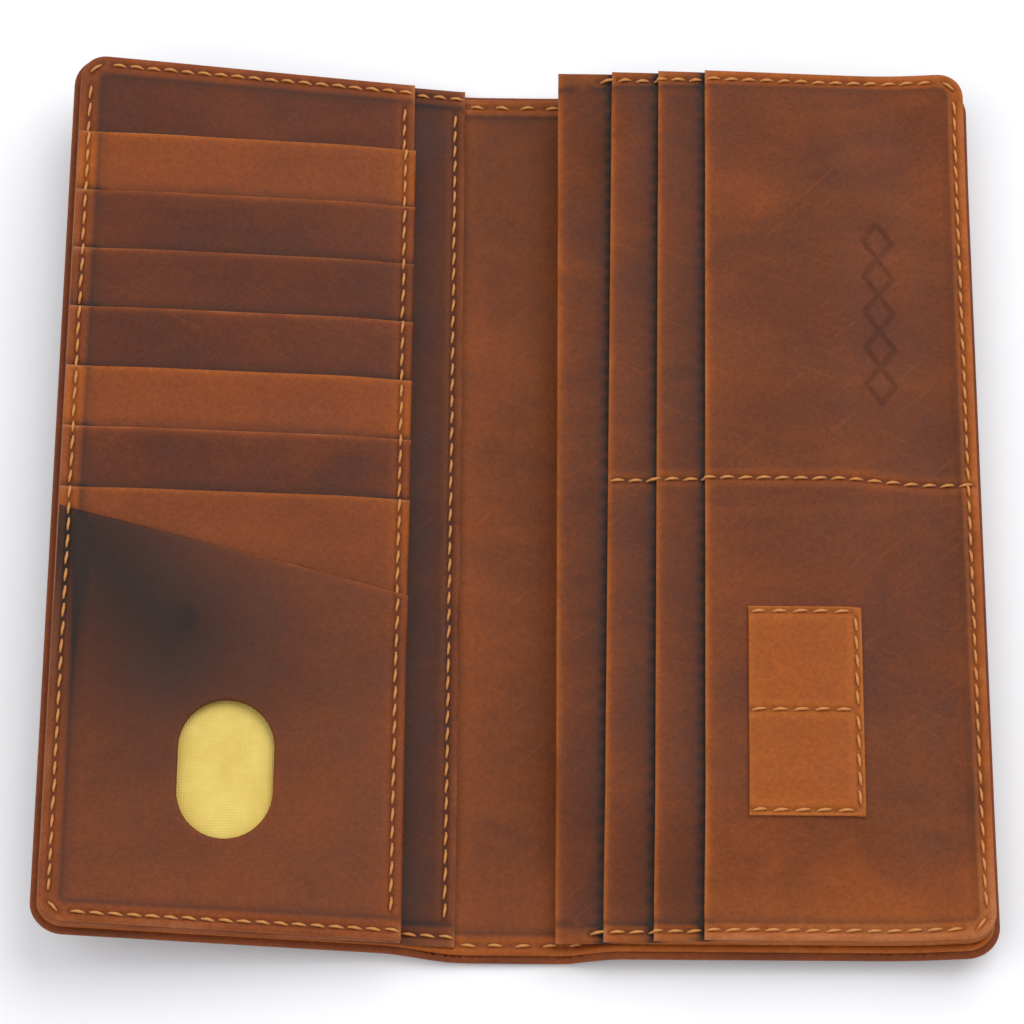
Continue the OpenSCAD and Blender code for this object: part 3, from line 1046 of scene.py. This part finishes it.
# %% ID pocket and its yellow lining
id_points = flat_points("id_pocket")
id_low, id_high = flat_box("id_pocket")
lining_low, lining_high = flat_box("id_pocket_lining")
id_lining_t = lining_high[2] - lining_low[2]
id_outer_y = id_high[1]
id_inner_y = id_points[id_points[:, 0] < card_edge_u + 0.01][:, 1].max()
id_lift = id_high[2] - layer_t - card_top_h
id_slope = (id_lift - id_lining_t) / (id_outer_y - id_low[1])
hole_points = id_points[(id_points[:, 0] > card_edge_u + 12) & (id_points[:, 0] < inner_w - 12)]
hole_points = hole_points[(hole_points[:, 1] < id_inner_y - 5) & (hole_points[:, 1] > id_low[1] + 5)]
hole_low, hole_high = hole_points.min(0), hole_points.max(0)
hole_mid = (hole_low + hole_high) / 2
hole_r = (hole_high[0] - hole_low[0]) / 2
hole_run = (hole_high[1] - hole_low[1]) / 2 - hole_r
print("thumb hole", [round(float(c), 1) for c in (*hole_mid[:2], 2 * hole_r, 2 * (hole_run + hole_r))])


ID_PINCH = 0.9
ID_GAPE = 0.4
last_foot_y = slot_y[-1] - slot_length


def id_under(u, y):
    """Underside of the ID pocket. Below the last card pocket its seams pinch it down."""
    near_edge = smooth(1 - (id_inner_y + 12 - y) / 16)
    middle = between_seams(u)
    pinch = ID_PINCH * (1 - middle) * smooth((last_foot_y + 2 - y) / SEAM_EASE)
    slant = card_top_h + id_lining_t + (y - id_low[1]) * id_slope * (1 - pinch)
    return slant + left_swell(u, y) + mouth_gape(u, y) + ID_GAPE * near_edge * middle


id_corner = half_outline(edge_inset, card_edge_u)
id_outline = [p for p in id_corner if p[1] < 0]
id_outline += [(inner_w, id_outer_y), (card_edge_u, id_inner_y)]
thumb_hole = arc(hole_mid[0], hole_mid[1] + hole_run, hole_r, 0, 180, 24)
thumb_hole += arc(hole_mid[0], hole_mid[1] - hole_run, hole_r, 180, 360, 24)
id_seams = [crossing(left_edge_seam, id_low[1] - 5, id_outer_y), crossing(card_seam, id_low[1], id_inner_y)]
wax_stain = (straight((inner_w - 6, id_outer_y - 8), (inner_w - 24, id_outer_y - 26)), 26.5, 0.98)
blemish_middle = hole_mid[:2] + (9.3, 31)
blemish = (straight(blemish_middle, blemish_middle + (0.4, 0.8)), 1.3, 0.28)
id_pocket = sewn_left("id_pocket", id_outline, id_under, layer_t, dark_leather, holes=[thumb_hole],
                      seams=id_seams, border=BORDER, shades=[wax_stain, blemish],
                      worn_lines=free_edge((card_edge_u, id_inner_y), (inner_w, id_outer_y)))


# %% [markdown]
# The lining is a plain woven cloth, laid flat on the card base and caught by the same seams.

# %% Yellow lining
def woven_cloth(name, dark, light):
    """A plain weave: fine crossed ribs, with slubs and a slight unevenness in the dye."""
    material, tree, shader = new_material(name)
    hide = add_node(tree, "ShaderNodeAttribute", attribute_name="hide").outputs["Vector"]
    ribs = []
    for direction in ("X", "Y"):
        wave = add_node(tree, "ShaderNodeTexWave", {
            "Vector": hide, "Scale": 560, "Distortion": 0.6, "Detail": 1.0,
        }, wave_type="BANDS", bands_direction=direction)
        ribs.append(wave.outputs["Fac"])
    weave = math_node(tree, "MULTIPLY", ribs[0], ribs[1])
    dye = noise(tree, hide, 120, 4, 0.6)
    colour = mix_colour(tree, stretch(tree, dye, 0.3, 0.7), (*dark, 1), (*light, 1))
    shade = stretch(tree, weave, 0, 1, 0.9, 1.05)
    shade = add_node(tree, "ShaderNodeCombineColor", {0: shade, 1: shade, 2: shade}).outputs[0]
    tree.links.new(mix_colour(tree, 1.0, colour, shade, "MULTIPLY"), shader.inputs["Base Color"])
    tree.links.new(bump(tree, weave, 0.0002, 0.4), shader.inputs["Normal"])
    shader.inputs["Roughness"].default_value = 0.85
    shader.inputs["Sheen Weight"].default_value = 0.2
    return material


yellow_cloth = woven_cloth("yellow_cloth", (0.72, 0.50, 0.095), (0.84, 0.63, 0.155))
CLOTH_CLEARANCE = 0.02
CLOTH_INSET = 3.0
cloth_outline = [p for p in half_outline(edge_inset + CLOTH_INSET, card_edge_u + CLOTH_INSET) if p[1] < 0]
cloth_outline += [(inner_w - CLOTH_INSET, lining_high[1]), (card_edge_u + CLOTH_INSET, lining_high[1])]
id_cloth = sewn_left("id_pocket_lining", cloth_outline,
                     lambda u, y: card_top_h + CLOTH_CLEARANCE + left_swell(u, y) + mouth_gape(u, y),
                     id_lining_t - CLOTH_CLEARANCE, yellow_cloth, kind="cloth", worn=0.0)

# %% [markdown]
# ## Right half
#
# The phone panel arches over the phone and is sewn down on three sides. Towards the fold it stays open,
# and without a stitch near the mouth its two corners gape. Three cash layers lie on it in steps.

# %% The arch of the phone pocket
phone_points = flat_points("phone_panel")
phone_high = flat_box("phone_panel")[1]
pocket_gap = phone_high[2] - panel_t
on_top = phone_points[phone_points[:, 2] > pocket_gap - 0.001]
pocket_u, pocket_half = on_top[:, 0].max(), on_top[:, 1].max()
on_lining = phone_points[phone_points[:, 2] < 0.001]
flange_u = on_lining[on_lining[:, 0] > pocket_u][:, 0].min()
flange_y = on_lining[(on_lining[:, 1] > pocket_half) & (on_lining[:, 0] < pocket_u)][:, 1].min()
SIDE_SOFTNESS = 20
END_SOFTNESS = 15
POCKET_SAG = 0.92
RIGHT_BORDER = BORDER - 0.8
WIDE_SHADE = (7, 0.42)
layer_u = [flat_box(f"cash_layer_{k}")[0][0] for k in (1, 2, 3)]
print("phone pocket", [round(float(c), 2) for c in (pocket_gap, pocket_u, flange_u, pocket_half, flange_y)])


def arch(u, y):
    """Height of the phone panel's underside above the lining."""
    from_side = smooth((flange_u + 1 - u) / (flange_u + 1 - pocket_u + SIDE_SOFTNESS))
    from_ends = smooth((flange_y + 1 - np.abs(y)) / (flange_y + 1 - pocket_half + END_SOFTNESS))
    open_mouth = rim_lift(u, y) * (1 - smooth(u / LIFT_RAMP))
    return np.cbrt((POCKET_SAG * pocket_gap * from_side * from_ends) ** 3 + open_mouth ** 3)


def edge_shade(k):
    """The painted shadow on a sheet beside the free edge of the next cash layer: a dark line and a wider dark
    band.
    """
    if k >= len(layer_u):
        return []
    line = straight((layer_u[k], -inner_h), (layer_u[k], inner_h))
    return [(line, *CORNER_SHADE), (line, *WIDE_SHADE)]


def sewn_right(name, outline, under, thickness, material, **extras):
    piece = cut_sheet(name + "_leather", outline, under, thickness, place_right, material, **extras)
    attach(piece, "right_half")
    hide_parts(name)
    return piece


RIGHT_SEAM_START = 7.0
SEWN_FROM = RIGHT_SEAM_START - 0.5
right_edge_seam = edge_seam(RIGHT_SEAM_START)
phone_panel = sewn_right("phone_panel", half_outline(edge_inset, fold_setback), arch, panel_t,
                         pocket_leather, seams=[right_edge_seam], border=RIGHT_BORDER,
                         shades=edge_shade(0),
                         worn_lines=free_edge((fold_setback, -inner_h), (fold_setback, inner_h)))

# %% [markdown]
# Each cash layer is glued and sewn round its edges, and one divider seam runs across all three, so their
# free edges can only lift between the seams. The top layer is pressed with a plain row of diamonds.

# %% Cash layers
divider_low, divider_high = flat_box("divider_thread")
divider_y = (divider_low[1] + divider_high[1]) / 2
divider_seam = seam_run((layer_u[0], divider_y), (seam_u + 1.4, divider_y))
EDGE_GAPE = 0.55
EDGE_EASE = 16
EDGE_REACH = 8


def free_edge_gape(u, y, start):
    from_divider = smooth((np.abs(y - divider_y) - 1) / EDGE_EASE)
    between = from_divider * smooth((inner_h - 2 - np.abs(y)) / EDGE_EASE)
    return EDGE_GAPE * between * (1 - smooth((u - start) / EDGE_REACH))


def layer_under(k, u, y):
    return arch(u, y) + panel_t + k * layer_t + free_edge_gape(u, y, layer_u[k])


MARK_SIZE = (6.0, 8.2)
MARK_COUNT = 5
MARK_WIDTH = 0.42
MARK_DEPTH = 0.32
MARK_MARGIN = 1.2
MARK_STEP = 0.36
mark_u = (layer_u[2] + seam_u) / 2 + 9.5
mark_y = inner_h * 0.41
diamond_sides = []
for i in range(MARK_COUNT):
    middle = np.array([mark_u, mark_y + (i - (MARK_COUNT - 1) / 2) * MARK_SIZE[1]])
    tips = [middle + np.array([dx * MARK_SIZE[0], dy * MARK_SIZE[1]]) / 2
            for dx, dy in ((1, 0), (0, 1), (-1, 0), (0, -1))]
    diamond_sides += list(zip(tips, tips[1:] + tips[:1]))


def pressed_diamonds(u, y):
    points = np.column_stack([u, y])
    gap = distance_to_segments(points, [a for a, b in diamond_sides], [b for a, b in diamond_sides])
    return -MARK_DEPTH * bell(gap, MARK_WIDTH)


mark_reach = (MARK_SIZE[0] / 2 + MARK_MARGIN, MARK_SIZE[1] * MARK_COUNT / 2 + MARK_MARGIN)
mark_points = np.array([(mark_u + dx, mark_y + dy)
                        for dx in np.arange(-mark_reach[0], mark_reach[0], MARK_STEP)
                        for dy in np.arange(-mark_reach[1], mark_reach[1], MARK_STEP)])
# The top cash layer is painted lighter towards its lower edge and in one small spot near its upper edge.
lighter_patches = [(straight((layer_u[2] + 8, -inner_h), (seam_u, -inner_h)), 17, 0.7),
               (straight((layer_u[2] + 12, inner_h - 32), (layer_u[2] + 14, inner_h - 31)), 4, 0.22)]
for k in range(len(layer_u)):
    outermost = k == len(layer_u) - 1
    marked = {"relief": pressed_diamonds, "extra": mark_points} if outermost else {}
    rubbed_and_highlit = free_edge((layer_u[k], -inner_h), (layer_u[k], inner_h))
    rubbed_and_highlit += lighter_patches if outermost else []
    layer = sewn_right(f"cash_layer_{k + 1}", half_outline(edge_inset, layer_u[k]),
                       lambda u, y, k=k: layer_under(k, u, y), layer_t, pocket_leather,
                       seams=[right_edge_seam, divider_seam], border=RIGHT_BORDER,
                       shades=edge_shade(k + 1), worn_lines=rubbed_and_highlit, **marked)

# %% [markdown]
# The small tan pocket holds two memory or SIM cards, one above the other. It is thin, fresh leather, open
# to the left, with a hand-sewn seam round the other sides and one between its two cells.

# %% SIM pocket
sim_low, sim_high = flat_box("sim_pocket")
sim_t = sim_high[2] - sim_low[2]
SIM_SEAM = 1.1
SIM_SWELL = 0.05
SIM_CORNER = 0.7
sim_right = sim_high[0] - SIM_SEAM
sim_rows = [sim_low[1] + SIM_SEAM, (sim_low[1] + sim_high[1]) / 2, sim_high[1] - SIM_SEAM]
sim_seam = join_seams(*[seam_run((sim_low[0], y), (sim_right - SIM_CORNER, y)) for y in sim_rows])
for low_y, high_y in zip(sim_rows, sim_rows[1:]):
    side_run = seam_run((sim_right, low_y + SIM_CORNER), (sim_right, high_y - SIM_CORNER))
    sim_seam = join_seams(sim_seam, side_run)


def sim_swell(u, y):
    from_seam = np.min([np.abs(y - row) for row in sim_rows], axis=0)
    return SIM_SWELL * smooth(from_seam / 6) * smooth((sim_right - u) / 8)


def sim_under(u, y):
    return arch(u, y) + panel_t + 3 * layer_t + sim_swell(u, y)


sim_outline = [(sim_low[0], sim_low[1]), (sim_high[0], sim_low[1]), (sim_high[0], sim_high[1]),
               (sim_low[0], sim_high[1])]
sim_pocket = sewn_right("sim_pocket", sim_outline, sim_under, sim_t, tan_leather, seams=[sim_seam])

# %% [markdown]
# ## All the seams
#
# Two functions give the height of the uppermost leather at any place, so each stitch lies on the piece
# it really holds and climbs over the step where it crosses a free edge.

# %% Upper surfaces
def left_top(u, y):
    slip = slip_under(u, y) + panel_t
    top = np.where(u > card_edge_u, slip + layer_t, slip)
    for k in range(len(slot_y)):
        shows = (u > card_edge_u) & (y < slot_y[k]) & (y > slot_y[k] - slot_length)
        top = np.where(shows, np.maximum(top, shingle_under(k, u, y) + layer_t), top)
    id_edge = id_inner_y + (id_outer_y - id_inner_y) * (u - card_edge_u) / (inner_w - card_edge_u)
    top = np.where((u > card_edge_u) & (y < id_edge), id_under(u, y) + layer_t, top)
    return np.where(u < fold_setback, 0, top)


def right_top(u, y):
    top = arch(u, y) + panel_t
    for k in range(len(layer_u)):
        top = np.where(u > layer_u[k], layer_under(k, u, y) + layer_t, top)
    return np.where(u < SEWN_FROM, 0, top)


# %% [markdown]
# Last, the thread. The edge seam crosses the folds, so it is made once for each half and bends with the
# cover. It is sewn on both faces, inside and outside. The other seams just ride on their own half.

# %% Sew every seam
def place_seam_left(u, y, h):
    on_lining = (u < fold_setback)[..., None]
    return np.where(on_lining, place_cover_left(u, y, h), place_left(u, y, h))


def place_seam_right(u, y, h):
    on_lining = (u < SEWN_FROM)[..., None]
    return np.where(on_lining, place_cover_right(u, y, h), place_right(u, y, h))


left_run = join_seams(spine_seam, left_edge_seam)
right_run = join_seams(spine_seam, *[seam_run((HAND_OVER, s * seam_y), (RIGHT_SEAM_START, s * seam_y))
                                     for s in (-1, 1)], right_edge_seam)
cover_face = level(-lining_z)
EDGE_SEAMS = (
    ("edge_stitches_left", -1, left_run, left_top, place_seam_left, 1),
    ("edge_stitches_right", 1, right_run, right_top, place_seam_right, 1),
    ("outer_stitches_left", -1, cover_seam, cover_face, place_cover_left, -1),
    ("outer_stitches_right", 1, cover_seam, cover_face, place_cover_right, -1),
)
for name, side, run, top, place, outward in EDGE_SEAMS:
    body = "left" if side < 0 else "right"
    stitches = sew(name, run, top, place, thread, outward)
    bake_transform(stitches)
    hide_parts(f"edge_thread_{body}", "edge_thread_spine")

INNER_SEAMS = (
    ("slip_panel_thread", slip_seam, left_top, place_left, "left_half"),
    ("card_base_thread", card_seam, left_top, place_left, "left_half"),
    ("divider_thread", divider_seam, right_top, place_right, "right_half"),
    ("sim_pocket_thread", sim_seam, lambda u, y: sim_under(u, y) + sim_t, place_right, "right_half"),
)
for node, run, top, place, body in INNER_SEAMS:
    stitches = sew(node.replace("thread", "stitches"), run, top, place, thread)
    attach(stitches, body)
    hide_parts(node)
